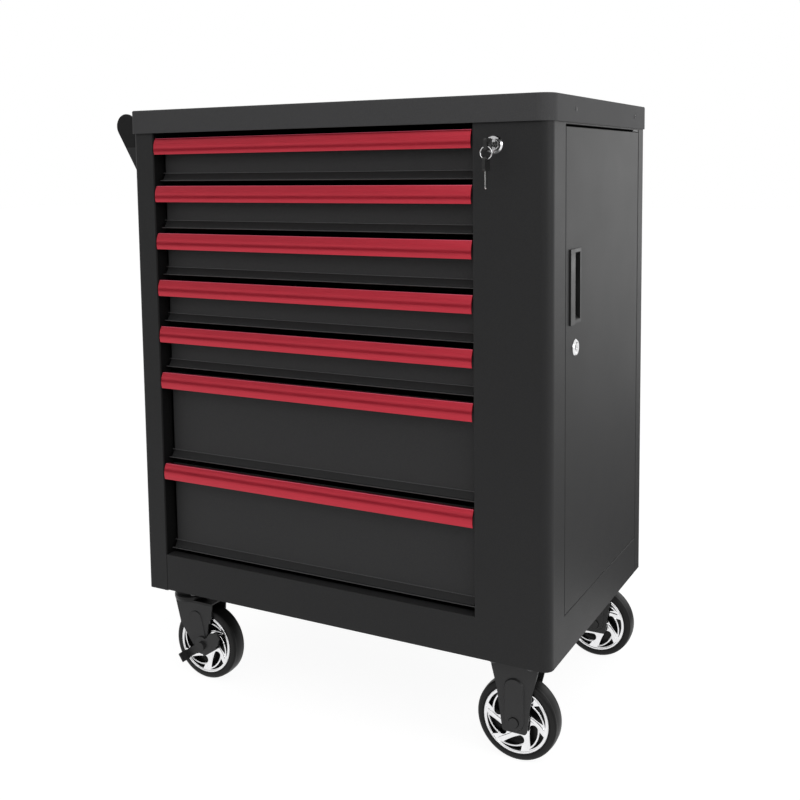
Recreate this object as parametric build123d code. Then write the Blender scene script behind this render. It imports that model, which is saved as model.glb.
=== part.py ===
from build123d import *
from math import cos, pi, radians, sin
import os

# A rolling tool chest: a folded-steel cabinet with seven drawers on telescopic slides, a narrow side locker
# with a hinged door, a sheet worktop, a push handle, and two fixed and two swivel casters.
# Millimetres. The pieces are drawn from the cabinet's front left bottom corner: X right, Y back, Z up.
# to_frame then moves them to the part's own frame, whose origin is on the floor under the whole outline.

# ---- cabinet ----
body_w = 735.0          # outside width of the cabinet
body_d = 467.0          # outside depth of the cabinet
skirt_to_lid = 781.0    # from the cabinet's lower edge to the worktop's lower edge
sheet = 1.5             # cabinet sheet
seam = 0.3              # gap at a seam, and under pieces that are only laid in
corner_r = 15.0         # bend of the corner posts
post_r = 5.0            # tighter bend of the left front post
back_r = 8.0            # bend of the right rear corner
edge_r = 1.2            # rounding of the folded edges round the openings
post_w = 40.0           # width of the left front post
column_w = 117.0        # width of the right front column
post_drop = 1.5         # the left side hangs this much lower than the front frame
apron_h = 62.7          # height of the plain apron under the drawers
return_d = 28.0         # depth of the folds beside the drawer opening
sill_d = 20.0           # depth of the folds above and below the drawer opening
head_gap = 4.0          # drawer opening's upper edge, above the worktop's lower edge
rear_fold = 20.0        # fold of the left side round the back
upright_w = 40.0        # width of the posts that carry the left slides
upright_inset = 50.0    # from a slide's end to the middle of a post
pan_h = 25.0            # height of the base pan's rim

# ---- worktop ----
lid_h = 38.0            # height of the worktop's skirt
lid_side = 3.0          # overhang at the sides
lid_front = 4.5         # overhang at the front and the back
lid_corner_extra = 7.0  # its right corners are this much rounder than the cabinet's
lid_edge_r = 2.5        # bend of its upper edge

# ---- drawers ----
shallow_pitch = 78.5    # height taken by a shallow drawer
deep_pitch = 157.5      # height taken by the upper deep drawer
shallow_count = 5
first_pull_drop = 8.5   # worktop's lower edge to the first pull
drawer_gap = 7.5        # from a drawer's lip to the pull below it
drawer_sheet = 1.2
panel_y = 22.0          # drawer panel behind the cabinet's front
rear_room = 27.0        # drawer's back to the cabinet's back
panel_gap = 7.0         # drawer panel to the side of the opening
lip_rise = 13.0         # height of the sloping foot of the panel
lip_out = 9.0           # how far the foot slopes forward
flange_drop = 2.0       # panel's upper flange, under the top of the pull
flange_front = 5.2      # front edge of that flange
side_drop = 13.0        # drawer's side, below the top of the pull
back_drop = 20.0        # drawer's back, below the top of the pull
hem = 6.0               # fold along the upper edge of the drawer's sides

# ---- drawer pulls ----
pull_h = 26.5
pull_gap = 2.2          # end of a pull to the side of the opening
pull_wall = 1.8
pull_proud = 2.0        # the bulge stands this far before the cabinet's front
pull_top_y = 3.4        # upper edge, behind the cabinet's front
pull_bottom_y = -0.4    # lower edge
bulge_share = 0.62      # height of the bulge, down from the top, as a share of the pull
clip_d = 9.0            # how far the clip reaches back
clip_wall = 1.7
clip_play = 0.3

# ---- telescopic slides ----
slide_h = 35.0
slide_t = 12.3          # support to drawer side
slide_sheet = 1.2
slide_play = 0.35       # between the nested members
slide_lip = 2.2         # curled lips
slide_y = 34.0          # front end, behind the cabinet's front
slide_room = 33.0       # rear end to the cabinet's back
slide_stay = 10.0       # length that stays in the cabinet when a drawer is out
slide_rise = 5.0        # over the drawer's floor
crown_gap = 1.05        # inner member's crown to the middle member's lips

# ---- front lock and locking bar ----
lock_in = 33.5          # from the drawer opening
lock_drop = 31.0        # below the worktop's lower edge
lock_bezel_r = 13.5
lock_bezel_t = 5.0
barrel_r = 9.5
barrel_len = 26.0
plug_r = 6.5
plug_play = 0.05
cam_r = 9.0             # radius of the cam pin's circle
cam_pin_r = 2.0
cam_t = 2.5
cam_gap = 0.4
bar_t = 2.0
bar_w = 18.0
hook_reach = 6.0
hook_h = 10.0
hook_drop = 2.0         # hook's upper edge at rest, below the top of the pull
catch_h = 7.0
catch_t = 2.0
catch_foot = 14.0       # length of the foot that is riveted to the drawer
catch_play = 2.0        # hook to catch, fore and aft
catch_clear = 3.0       # hook over catch, at rest
slot_play = 0.5

# ---- keys ----
bow_w = 17.0
bow_l = 20.0
bow_t = 4.4
blade_l = 24.0
blade_w = 6.6
blade_t = 1.8
key_play = 0.4
bow_rim = 1.8           # bow's end to its slot
key_slot_l = 9.0
key_slot_w = 4.4
key_reach = 13.0        # the inserted key's bow starts this far before the front
ring_r = 8.6
ring_wire_r = 0.8

# ---- side door ----
door_y0 = 60.0          # front edge of the door opening
rear_post = 36.0        # rear edge of the door opening to the cabinet's back
door_side_gap = 1.0
door_top_gap = 3.0
door_head = 3.0         # opening's upper edge, below the worktop's lower edge
jamb = 18.0             # depth of the folds round the door opening
door_fold = 16.0        # depth of the door's folds
hinge_in = 6.0          # hinge axis, inward from the door's face
hinge_fore = 19.0       # hinge axis, forward of the door's rear edge
hinge_pin_r = 3.0
hinge_play = 0.06
door_pull_in = 16.0     # from the front edge of the door opening
door_pull_w = 50.0
door_pull_z = 490.0
door_pull_h = 110.0
grip_w = 20.0
grip_proud = 2.7
pull_flange = 1.2
pull_depth = 13.0
cup_wall = 1.8
door_lock_drop = 35.0   # below the pull
door_bezel_r = 12.5
door_bezel_t = 3.0
door_barrel_len = 22.0
door_cam_l = 52.0
door_cam_w = 14.0

# ---- push handle ----
handle_y = 30.0         # outer face of the front bracket
bracket_t = 3.0
bracket_drop = 97.0     # bracket's lower end, below the worktop
bracket_gap = 13.0      # bracket's upper end on the wall, below the worktop
grip_out = 44.0         # tube's axis, out from the wall
grip_rise = 15.0        # tube's axis, above the worktop's lower edge
lobe_r = 20.5
tube_r = 13.0
tube_wall = 2.0
bracket_foot = 20.0

# ---- casters ----
wheel_r = 63.5
wheel_room = 34.0       # wheel's top to the cabinet's lower edge
wheel_w = 30.0
wheel_y = 45.0          # front wheels' middle plane
rear_wheel_in = 37.0    # rear wheels' middle plane, from the cabinet's back
fixed_in = 64.5         # right wheels' middle, from the cabinet's right side
pivot_x = 54.5
trail = 39.5            # kingpin to the wheel's middle
axle_r = 4.0
axle_play = 0.05
plate_t = 3.0
plate_l = 76.0
plate_w = 72.0
fork_sheet = 2.5
fork_gap = 3.5          # wheel's side to the fork's leg
race_r = 29.0
race_h = 10.5
race_gap = 0.3
king_r = 6.0
rib_w = 32.0
fixed_rib = 3.0
swivel_rib = 1.5
rim_r = 49.5
rim_lip = 1.5           # cover's overlap on the tyre
trim_t = 2.2
blade_count = 6
lever_t = 3.0
lever_tab = 15.0

# ---- worked out from the sizes above ----
caster_h = 2 * wheel_r + wheel_room
lid_front_r = corner_r + lid_corner_extra
lid_back_r = back_r + lid_corner_extra
lid_left_r = post_r + lid_side
bay_x0 = post_w
bay_x1 = body_w - column_w
frame_top = skirt_to_lid + lid_h - sheet - seam
opening_top = skirt_to_lid + head_gap
door_top = skirt_to_lid - door_head
rear_face = body_d - sheet
first_top = skirt_to_lid - first_pull_drop
shallow_tops = [first_top - shallow_pitch * i for i in range(shallow_count + 1)]
pull_tops = shallow_tops + [shallow_tops[-1] - deep_pitch]
lip_bottoms = [top + drawer_gap for top in pull_tops[1:]] + [apron_h + drawer_gap]
drawer_count = len(pull_tops)
box_x0 = bay_x0 + slide_t
box_x1 = bay_x1 - slide_t
drawer_back = body_d - rear_room
slide_len = body_d - slide_room - slide_y
travel = slide_len - slide_stay
crown_h = slide_h - 2 * (2 * slide_sheet + slide_play + slide_lip + crown_gap)
hook_y0 = slide_y + 2.0
hook_y1 = hook_y0 + bar_w - 4.0
catch_y = hook_y1 + catch_play
bar_stroke = 2 * cam_r * sin(pi / 4)
bar_x = bay_x1 + sheet + seam
divider_y0 = return_d + seam
cam_y = sheet + barrel_len + cam_gap
drive_y = cam_y + cam_t + cam_gap
handle_end = body_d - handle_y
lock_x = bay_x1 + lock_in
lock_z = skirt_to_lid - lock_drop
keyway_w = blade_t + 2 * key_play
keyway_h = blade_w + 2 * key_play
door_y1 = body_d - rear_post
door_pull_y = door_y0 + door_pull_in
door_lock_y = door_pull_y + door_pull_w / 2
door_lock_z = door_pull_z - door_lock_drop
bracket_low = skirt_to_lid - bracket_drop
bracket_high = skirt_to_lid - bracket_gap
grip_z = skirt_to_lid + grip_rise
fixed_x = body_w - fixed_in
trim_r = rim_r + rim_lip
slot_from_root = bow_l - bow_rim - key_slot_w / 2
ring_y = -(key_reach + slot_from_root)
hinge_x = body_w - hinge_in
hinge_y = door_y1 - door_side_gap - hinge_fore
rear_wheel_y = body_d - rear_wheel_in
wheel_z = wheel_r - caster_h
leg_in = wheel_w / 2 + fork_gap
leg_out = leg_in + fork_sheet

# ---- the part's frame: on the floor, under the middle of the whole outline ----
outline_left = -(grip_out + lobe_r)
outline_right = body_w + lid_side
outline_front = ring_y - bow_w / 2
outline_back = body_d + lid_front
frame_x = (outline_left + outline_right) / 2
frame_y = (outline_front + outline_back) / 2
to_frame = Location((-frame_x, -frame_y, caster_h))


def save(node, *solids):
    """Writes one node, moved to the part's frame."""
    shape = Compound([piece.moved(to_frame) for solid in solids for piece in solid.solids()])
    export_step(shape, f"parts/{node}.step")


def block(x0, x1, y0, y1, z0, z1):
    """A block between its low and high faces."""
    middle = ((x0 + x1) / 2, (y0 + y1) / 2, (z0 + z1) / 2)
    return Pos(*middle) * Box(x1 - x0, y1 - y0, z1 - z0)


def folded(points, radii, thickness, side):
    """Cross-section of folded sheet: a path with bent corners, given a thickness to one side."""
    path = FilletPolyline(*points, radius=radii)
    return make_face(path.offset_2d(thickness, side=side).edges())


def rod(radius, start, length, direction):
    """A round bar from a point, along X, Y or Z."""
    plane = Plane(origin=start, z_dir=direction)
    return extrude(plane * Circle(radius), length)


def ring_solid(profile, centre):
    """A profile in radius and Y, turned about the Y axis through a centre."""
    face = make_face(Polyline(*profile, close=True))
    return Pos(*centre) * revolve(face, Axis.Y)


def polar(radius, angle):
    return (radius * cos(radians(angle)), radius * sin(radians(angle)))


def mirrored_about(solid, x):
    return mirror(solid, Plane(origin=(x, 0, 0), z_dir=(1, 0, 0)))


# ---- cabinet ----
def left_side():
    """Left wall in one sheet: front post with its inner return, wall, and a fold round the back."""
    points = [
        (bay_x0 - 12, return_d), (bay_x0, return_d), (bay_x0, 0), (0, 0), (0, body_d), (rear_fold, body_d),
    ]
    radii = [edge_r + sheet, edge_r + sheet, post_r, corner_r]
    plan = folded(points, radii, sheet, Side.RIGHT)
    wall = extrude(Pos(0, 0, -post_drop) * plan, frame_top + post_drop)
    below_opening = block(bay_x0 - 13, bay_x0 + 1, sheet, return_d + 1, -post_drop - 1, apron_h)
    post_edge = block(bay_x0 - sheet, bay_x0 + 1, -1, sheet + 1, -post_drop - 1, apron_h)
    return wall - below_opening - post_edge + block(
        bay_x0 - edge_r - 2 * sheet, bay_x0, 0, sheet, -post_drop, apron_h
    )


def front_frame():
    """Column, apron and top rail in one sheet that wraps round the right corner and frames the door."""
    points = [(bay_x0 + seam, 0), (body_w, 0), (body_w, door_y1)]
    skin = extrude(folded(points, [corner_r], sheet, Side.LEFT), frame_top)
    skin -= block(bay_x0 - 1, bay_x1, -1, sheet + 1, apron_h, opening_top)
    skin -= block(body_w - sheet - 1, body_w + 1, door_y0, door_y1 + 1, apron_h, door_top)
    left, right = bay_x0 + seam, body_w
    skin += block(bay_x1, bay_x1 + sheet, 0, return_d, apron_h - sheet, opening_top + sheet)
    skin += block(left, bay_x1, 0, sill_d, apron_h - sheet, apron_h)
    skin += block(left, bay_x1, 0, sill_d, opening_top, opening_top + sheet)
    skin += block(right - jamb, right, door_y0 - sheet, door_y0, apron_h - sheet, door_top + sheet)
    skin += block(right - jamb, right, door_y0, door_y1, apron_h - sheet, apron_h)
    skin += block(right - jamb, right, door_y0, door_y1, door_top, door_top + sheet)
    skin -= rod(barrel_r + seam, (lock_x, -1, lock_z), sheet + 2, (0, 1, 0))
    skin -= rod(hinge_pin_r + hinge_play, (hinge_x, hinge_y, apron_h - sheet - 1), sheet + 2, (0, 0, 1))
    front_edges = skin.edges().filter_by(
        lambda edge: edge.length > 100
        and abs(edge.center().Y) < 1e-3
        and bay_x0 < edge.center().X < bay_x1 + 1
        and edge.bounding_box().min.Z > 1
        and edge.bounding_box().max.Z < frame_top - 1
    )
    side_edges = skin.edges().filter_by(
        lambda edge: edge.length > 100
        and abs(edge.center().X - body_w) < 1e-3
        and edge.center().Y > door_y0 - 1e-3
        and apron_h - 1 < edge.bounding_box().min.Z
        and edge.bounding_box().max.Z < door_top + 1
        and edge.bounding_box().max.Y < door_y1 + 1e-3
        and edge.center().Y < door_y1 - 1
    )
    return fillet(front_edges + side_edges, edge_r)


def back_panel():
    """Back sheet with a flange that comes forward round the right corner as the door's rear jamb."""
    points = [
        (rear_fold + seam, body_d), (body_w, body_d), (body_w, door_y1 + seam), (body_w - jamb, door_y1 + seam),
    ]
    panel = extrude(folded(points, [back_r, edge_r + sheet], sheet, Side.RIGHT), frame_top)
    flange_over_pan = block(
        body_w - jamb - 1, body_w - sheet, door_y1, door_y1 + 2 * sheet + seam, -1, pan_h + seam
    )
    return panel - flange_over_pan


def rounded_plan(inset):
    """Plan of the cabinet, stepped inward, with rounded corners."""
    plan = Rectangle(body_w - 2 * inset, body_d - 2 * inset)
    return Pos(body_w / 2, body_d / 2) * fillet(plan.vertices(), corner_r - inset + seam)


def base_pan():
    """Floor of the cabinet: a tray with an upturned rim, inside the sides."""
    edge = sheet + seam
    outer = extrude(rounded_plan(edge), pan_h)
    inner = extrude(rounded_plan(edge + sheet), pan_h)
    return outer - inner.moved(Location((0, 0, sheet)))


def hook_slot(top):
    """Slot in the divider that a hook passes through, over the whole stroke of the bar."""
    high = top - hook_drop + slot_play
    low = top - hook_drop - hook_h - bar_stroke - slot_play
    return block(bay_x1 - 1, bay_x1 + sheet + 1, hook_y0 - slot_play, hook_y1 + slot_play, low, high)


def divider_wall():
    """Wall between the drawers and the locker, slotted for the hooks, with two studs that guide the bar."""
    wall = block(bay_x1, bay_x1 + sheet, divider_y0, rear_face - sheet - 2 * seam, sheet + seam, frame_top)
    for top in pull_tops:
        wall -= hook_slot(top)
    for z in guide_heights():
        wall += stud(z)
    return wall


def guide_heights():
    """Heights of the two studs that carry the locking bar."""
    return [pull_tops[1] + hook_h, pull_tops[-1] + 2 * hook_h]


def stud(z):
    """Shouldered stud: a shank through the bar and a head over it."""
    y = (hook_y0 + hook_y1) / 2
    shank = rod(2.5, (bay_x1 + sheet, y, z), seam + bar_t + seam, (1, 0, 0))
    head = rod(5.0, (bar_x + bar_t + seam, y, z), 2.0, (1, 0, 0))
    return shank + head


def slide_uprights():
    """Two hat posts on the left wall that hold the left slides."""
    posts = []
    inner = sheet + seam
    for y in (slide_y + upright_inset, slide_y + slide_len - upright_inset):
        outer = block(inner, bay_x0, y - upright_w / 2, y + upright_w / 2, sheet + seam, frame_top)
        hollow = block(
            inner - 1, bay_x0 - sheet, y - upright_w / 2 + sheet, y + upright_w / 2 - sheet, 0, frame_top + 1
        )
        rim_notch = block(0, inner + sheet + seam, y - upright_w, y + upright_w, 0, pan_h + seam)
        posts.append(outer - hollow - rim_notch)
    return posts


def lid_plan(inset):
    """Plan of the lid, stepped inward, each corner with its own radius."""
    left, right = inset - lid_side, body_w + lid_side - inset
    front, back = inset - lid_front, body_d + lid_front - inset
    points = [(left, back), (left, front), (right, front), (right, back)]
    radii = [radius - inset for radius in (lid_left_r, lid_left_r, lid_front_r, lid_back_r)]
    return make_face(FilletPolyline(*points, radius=radii, close=True).edges())


def worktop():
    """Lid: one sheet with rounded corners and a skirt that hangs over the cabinet."""
    outer = extrude(Pos(0, 0, skirt_to_lid) * lid_plan(0), lid_h, dir=(0, 0, 1))
    top_face = outer.faces().sort_by(Axis.Z)[-1]
    outer = fillet(top_face.edges(), lid_edge_r)
    inner = extrude(Pos(0, 0, skirt_to_lid - 1) * lid_plan(sheet), lid_h - sheet + 1, dir=(0, 0, 1))
    return outer - inner


# ---- telescopic slides: three nested channels, drawn as a section in X and Z and extruded along Y ----
def outer_section():
    """Member on the cabinet: a channel with curled lips, open towards the drawer."""
    t, lip, high, mouth = slide_sheet, slide_lip, slide_h, slide_t - 2.1
    return [
        (0, 0), (mouth, 0), (mouth, t + lip), (mouth - t, t + lip), (mouth - t, t), (t, t),
        (t, high - t), (mouth - t, high - t), (mouth - t, high - t - lip), (mouth, high - t - lip),
        (mouth, high), (0, high),
    ]


def middle_section():
    """Middle member: a smaller channel that runs inside the outer one and holds the inner one."""
    t, lip, play = slide_sheet, slide_lip, slide_play
    low, high = t + play, slide_h - t - play
    back, mouth = t + play, slide_t - 2.1 - t - play
    return [
        (back, low), (mouth, low), (mouth, low + t + lip), (mouth - t, low + t + lip), (mouth - t, low + t),
        (back + t, low + t), (back + t, high - t), (mouth - t, high - t), (mouth - t, high - t - lip),
        (mouth, high - t - lip), (mouth, high), (back, high),
    ]


def inner_section():
    """Inner member on the drawer: a hat whose brims run behind the middle member's lips."""
    t, play, crown = slide_sheet, slide_play, crown_h
    low = 2 * (t + play)
    high = slide_h - low
    foot = (slide_h - crown) / 2
    brim = slide_t - 2.1 - 2 * (t + play) - t
    return [
        (brim, low), (brim + t, low), (brim + t, foot), (slide_t, foot), (slide_t, foot + crown),
        (brim + t, foot + crown), (brim + t, high), (brim, high), (brim, foot + crown - t),
        (slide_t - t, foot + crown - t), (slide_t - t, foot + t), (brim, foot + t),
    ]


def slide_member(section, z):
    """One member pair at a height: the left one as drawn, the right one mirrored across the bay."""
    face = make_face(Polyline(*section, close=True))
    plane = Plane(origin=(bay_x0, slide_y, z), x_dir=(1, 0, 0), z_dir=(0, -1, 0))
    left = extrude(plane * face, -slide_len)
    return [left, mirrored_about(left, (bay_x0 + bay_x1) / 2)]


# ---- drawers ----
def drawer(top, lip):
    """Folded tray: panel with a top flange and a sloping foot, floor, hemmed sides and back."""
    t = drawer_sheet
    path = [
        (flange_front, top - flange_drop),
        (panel_y + t, top - flange_drop),
        (panel_y + t, lip + lip_rise),
        (panel_y + t - lip_out, lip + t),
        (panel_y + 3 * lip_out, lip + t),
    ]
    section = folded(path, [2.0, 4.0, 1.5], t, Side.RIGHT)
    panel_x0 = bay_x0 + panel_gap
    front = extrude(Plane(origin=(panel_x0, 0, 0), x_dir=(0, 1, 0), z_dir=(1, 0, 0)) * section,
                    bay_x1 - bay_x0 - 2 * panel_gap)
    side_top, back_top = top - side_drop, top - back_drop
    tray = front + block(box_x0, box_x1, panel_y + 2 * lip_out, drawer_back, lip, lip + t)
    tray += block(box_x0, box_x0 + t, panel_y, drawer_back, lip, side_top)
    tray += block(box_x1 - t, box_x1, panel_y, drawer_back, lip, side_top)
    tray += block(box_x0, box_x0 + hem, panel_y, drawer_back, side_top - t, side_top)
    tray += block(box_x1 - hem, box_x1, panel_y, drawer_back, side_top - t, side_top)
    tray += block(box_x0, box_x1, drawer_back - t, drawer_back, lip, back_top)
    return tray


def drawer_catch(top):
    """Bracket on the drawer's right side, behind the hook that can drop in front of it."""
    high = top - hook_drop - hook_h - catch_clear
    tab = block(box_x1, bay_x1 - catch_play, catch_y, catch_y + catch_t, high - catch_h, high)
    foot = block(box_x1, box_x1 + catch_t, catch_y, catch_y + catch_foot, high - catch_h, high)
    return tab + foot


def drawer_pull(top):
    """Extruded pull: a bulging front wall and a clip that grips the panel's flange."""
    low = top - pull_h
    bulge_z = top - pull_h * bulge_share
    slot_low, slot_high = top - flange_drop - drawer_sheet - clip_play, top - flange_drop + clip_play
    front_top, front_bulge, front_low = (pull_top_y, top), (-pull_proud, bulge_z), (pull_bottom_y, low)
    back_low = (pull_bottom_y + pull_wall, low)
    back_bulge = (-pull_proud + pull_wall, bulge_z)
    back_top = (pull_top_y + pull_wall * 0.4, slot_low - clip_wall)
    outline = [
        ThreePointArc(front_top, front_bulge, front_low),
        Line(front_low, back_low),
        ThreePointArc(back_low, back_bulge, back_top),
        Polyline(
            back_top, (clip_d, slot_low - clip_wall), (clip_d, slot_low), (flange_front - clip_play, slot_low),
            (flange_front - clip_play, slot_high), (clip_d, slot_high), (clip_d, top), front_top,
        ),
    ]
    section = make_face([edge for piece in outline for edge in piece.edges()])
    start = bay_x0 + pull_gap
    plane = Plane(origin=(start, 0, 0), x_dir=(0, 1, 0), z_dir=(1, 0, 0))
    return extrude(plane * section, bay_x1 - bay_x0 - 2 * pull_gap)


# ---- front lock ----
def lock_barrel(bezel_r, bezel_t, length):
    """Housing drawn along -Z from its face: a domed bezel and a barrel, bored for the plug."""
    profile = [
        (plug_r + plug_play, -length), (barrel_r, -length), (barrel_r, 0), (bezel_r, 0), (bezel_r, bezel_t * 0.45),
        (bezel_r * 0.86, bezel_t), (plug_r + 1.6, bezel_t), (plug_r + plug_play, bezel_t * 0.6),
    ]
    plane = Plane.XZ
    return revolve(plane * make_face(Polyline(*profile, close=True)), Axis.Z)


def plug_body(bezel_t, length):
    """Plug drawn along -Z from the sheet's face, with the keyway cut in its front."""
    plug = Pos(0, 0, -length) * extrude(Circle(plug_r), length + bezel_t * 0.5)
    keyway = block(-keyway_w / 2, keyway_w / 2, -keyway_h / 2, keyway_h / 2, -length * 0.9, bezel_t)
    return plug - keyway


front_lock_plane = Plane(origin=(lock_x, 0, lock_z), x_dir=(1, 0, 0), z_dir=(0, -1, 0))
door_lock_plane = Plane(origin=(body_w, door_lock_y, door_lock_z), x_dir=(0, 1, 0), z_dir=(1, 0, 0))


def placed(plane, solid):
    return solid.moved(plane.location)


def lock_housing():
    """Bezel and barrel of the front lock, with the nut that clamps it behind the sheet."""
    nut = Pos(0, 0, -sheet - seam - 4) * extrude(RegularPolygon(barrel_r + 3, 6) - Circle(barrel_r + seam), 4)
    housing = lock_barrel(lock_bezel_r, lock_bezel_t, sheet + barrel_len)
    return [placed(front_lock_plane, housing), placed(front_lock_plane, nut)]


def lock_plug():
    """Plug with its cam: at rest the pin points up and left, locked it points down and left."""
    reach = cam_y + cam_t
    plug = placed(front_lock_plane, plug_body(lock_bezel_t, sheet + barrel_len))
    tail = rod(plug_r - 1.5, (lock_x, sheet + barrel_len, lock_z), cam_gap + cam_t, (0, 1, 0))
    pin_x, pin_z = lock_x - cam_r * sin(pi / 4), lock_z + cam_r * sin(pi / 4)
    arm = make_hull(
        (Pos(lock_x, lock_z) * Circle(plug_r) + Pos(pin_x, pin_z) * Circle(cam_pin_r + 1.5)).edges()
    )
    plane = Plane(origin=(0, reach, 0), x_dir=(1, 0, 0), z_dir=(0, -1, 0))
    cam = extrude(plane * arm, cam_t)
    pin = rod(cam_pin_r, (pin_x, reach, pin_z), cam_gap + bar_t + 1.0, (0, 1, 0))
    return plug + tail + cam + pin


def lock_bar():
    """Flat bar behind the column, a hook riveted to it for every drawer, and an arm that the cam pin moves."""
    low = pull_tops[-1] - hook_drop - hook_h - 4
    high = pull_tops[0] + 4
    bar = block(bar_x, bar_x + bar_t, hook_y0, hook_y1, low, high)
    hooks = []
    for top in pull_tops:
        upper = top - hook_drop
        hooks.append(block(bay_x1 - hook_reach, bar_x, hook_y0, hook_y1, upper - hook_h, upper))
    for z in guide_heights():
        y = (hook_y0 + hook_y1) / 2
        bar -= block(bar_x - 1, bar_x + bar_t + 1, y - 3, y + 3, z - 3, z + bar_stroke + 3)
    pin_x, pin_z = cam_r * sin(pi / 4), lock_z + cam_r * sin(pi / 4)
    half = cam_pin_r + slot_play
    arm = block(
        bar_x, lock_x - pin_x + half + 4, drive_y, drive_y + bar_t, pin_z - half - 5, pin_z + half + 5
    )
    arm -= block(
        lock_x - cam_r - half, lock_x - pin_x + half, drive_y - 1, drive_y + bar_t + 1, pin_z - half, pin_z + half
    )
    link = block(bar_x, bar_x + bar_t, drive_y, hook_y0, pin_z - half - 5, pin_z + half + 5)
    return [bar, arm + link, *hooks]


def key():
    """A key drawn in X (width) and Z (length), blade up, with its slot near the far end of the bow."""
    bow = Pos(0, 0, -bow_l / 2) * Box(bow_w, bow_t, bow_l)
    bow = fillet(bow.edges().filter_by(Axis.Y), 4.0)
    slot = Pos(0, 0, -slot_from_root) * Box(key_slot_l, bow_t + 1, key_slot_w)
    slot = fillet(slot.edges().filter_by(Axis.Y), key_slot_w / 2 - 0.1)
    blade = Pos(0, 0, blade_l / 2) * Box(blade_w, blade_t, blade_l)
    blade = chamfer(blade.edges().filter_by(Axis.Y).group_by(Axis.Z)[-1], blade_w * 0.3)
    return bow - slot + blade


# ---- keys in their places ----
hang = ((ring_r - ring_wire_r) ** 2 - (bow_t / 2) ** 2) ** 0.5
ring_z = lock_z - key_slot_l / 2 + seam - hang
spare_slot_z = ring_z - hang + seam - key_slot_w / 2


def lock_key():
    """Key in the lock: blade towards +Y, its width upright."""
    plane = Plane(origin=(lock_x, -key_reach, lock_z), x_dir=(0, 0, 1), z_dir=(0, 1, 0))
    return placed(plane, key())


def spare_key():
    """Second key, hanging from the ring, edge-on to the front."""
    plane = Plane(origin=(lock_x, ring_y, spare_slot_z - slot_from_root), x_dir=(0, 1, 0), z_dir=(0, 0, -1))
    return placed(plane, key())


def key_ring():
    """Wire ring that hangs in the first key's slot and carries the second."""
    plane = Plane(origin=(lock_x, ring_y, ring_z), x_dir=(1, 0, 0), z_dir=(0, -1, 0))
    return placed(plane, Torus(ring_r, ring_wire_r))


# ---- side door ----
def locker_door():
    """Pan-shaped door with folds all round, cut for its pull and its lock."""
    low_y, high_y = door_y0 + door_side_gap, door_y1 - door_side_gap
    low_z, high_z = apron_h + door_side_gap, door_top - door_top_gap
    outer = block(body_w - door_fold, body_w, low_y, high_y, low_z, high_z)
    face_edges = outer.faces().sort_by(Axis.X)[-1].edges()
    outer = fillet(face_edges, edge_r)
    inner = block(
        body_w - door_fold - 1, body_w - sheet, low_y + sheet, high_y - sheet, low_z + sheet, high_z - sheet
    )
    door = outer - inner
    stiffener = block(
        body_w - door_fold, body_w - door_fold + sheet, low_y, low_y + 12, low_z, high_z
    ) + block(body_w - door_fold, body_w - door_fold + sheet, high_y - 12, high_y, low_z, high_z)
    door += stiffener
    door -= block(
        body_w - sheet - 1, body_w + 1, door_pull_y + 2, door_pull_y + door_pull_w - 2,
        door_pull_z + 2, door_pull_z + door_pull_h - 2,
    )
    door -= rod(barrel_r + seam, (body_w + 1, door_lock_y, door_lock_z), -sheet - 2, (1, 0, 0))
    pin_hole = hinge_pin_r + hinge_play
    door -= rod(pin_hole, (hinge_x, hinge_y, low_z - 1), sheet + 2, (0, 0, 1))
    door -= rod(pin_hole, (hinge_x, hinge_y, high_z - sheet - 1), sheet + 2, (0, 0, 1))
    return door


def door_pull():
    """Moulded flush pull: a flange, a cup with sloping ends, and a grip over the cup's front edge."""
    y0, y1 = door_pull_y, door_pull_y + door_pull_w
    z0, z1 = door_pull_z, door_pull_z + door_pull_h
    clear = 2 + seam
    flange = block(body_w, body_w + pull_flange, y0, y1, z0, z1)
    flange = fillet(flange.faces().sort_by(Axis.X)[-1].edges(), pull_flange * 0.6)
    cup = block(body_w - pull_depth, body_w, y0 + clear, y1 - clear, z0 + clear, z1 - clear)
    grip = block(body_w, body_w + grip_proud, y0, y0 + grip_w, z0, z1)
    grip = fillet(grip.edges().filter_by(Axis.Z).sort_by(Axis.X)[-2:], 0.8)
    mouth_y0, mouth_y1 = y0 + grip_w, y1 - clear - cup_wall
    mouth = Plane(origin=(body_w + grip_proud, (mouth_y0 + mouth_y1) / 2, (z0 + z1) / 2),
                  x_dir=(0, 1, 0), z_dir=(1, 0, 0))
    deep = pull_depth - cup_wall
    floor_plane = Plane(origin=(body_w - deep, (mouth_y0 + mouth_y1) / 2, (z0 + z1) / 2),
                        x_dir=(0, 1, 0), z_dir=(1, 0, 0))
    width = mouth_y1 - mouth_y0
    height = door_pull_h - 2 * (clear + cup_wall)
    hollow = loft([mouth * Rectangle(width, height), floor_plane * Rectangle(width - 3, height - 2 * deep)])
    under = block(body_w - deep, body_w - cup_wall, y0 + clear + cup_wall, mouth_y0 + 6, z0 + 22, z1 - 22)
    return flange + cup + grip - hollow - under


def door_lock_housing():
    """Bezel and barrel of the door lock."""
    return placed(door_lock_plane, lock_barrel(door_bezel_r, door_bezel_t, door_barrel_len))


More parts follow.
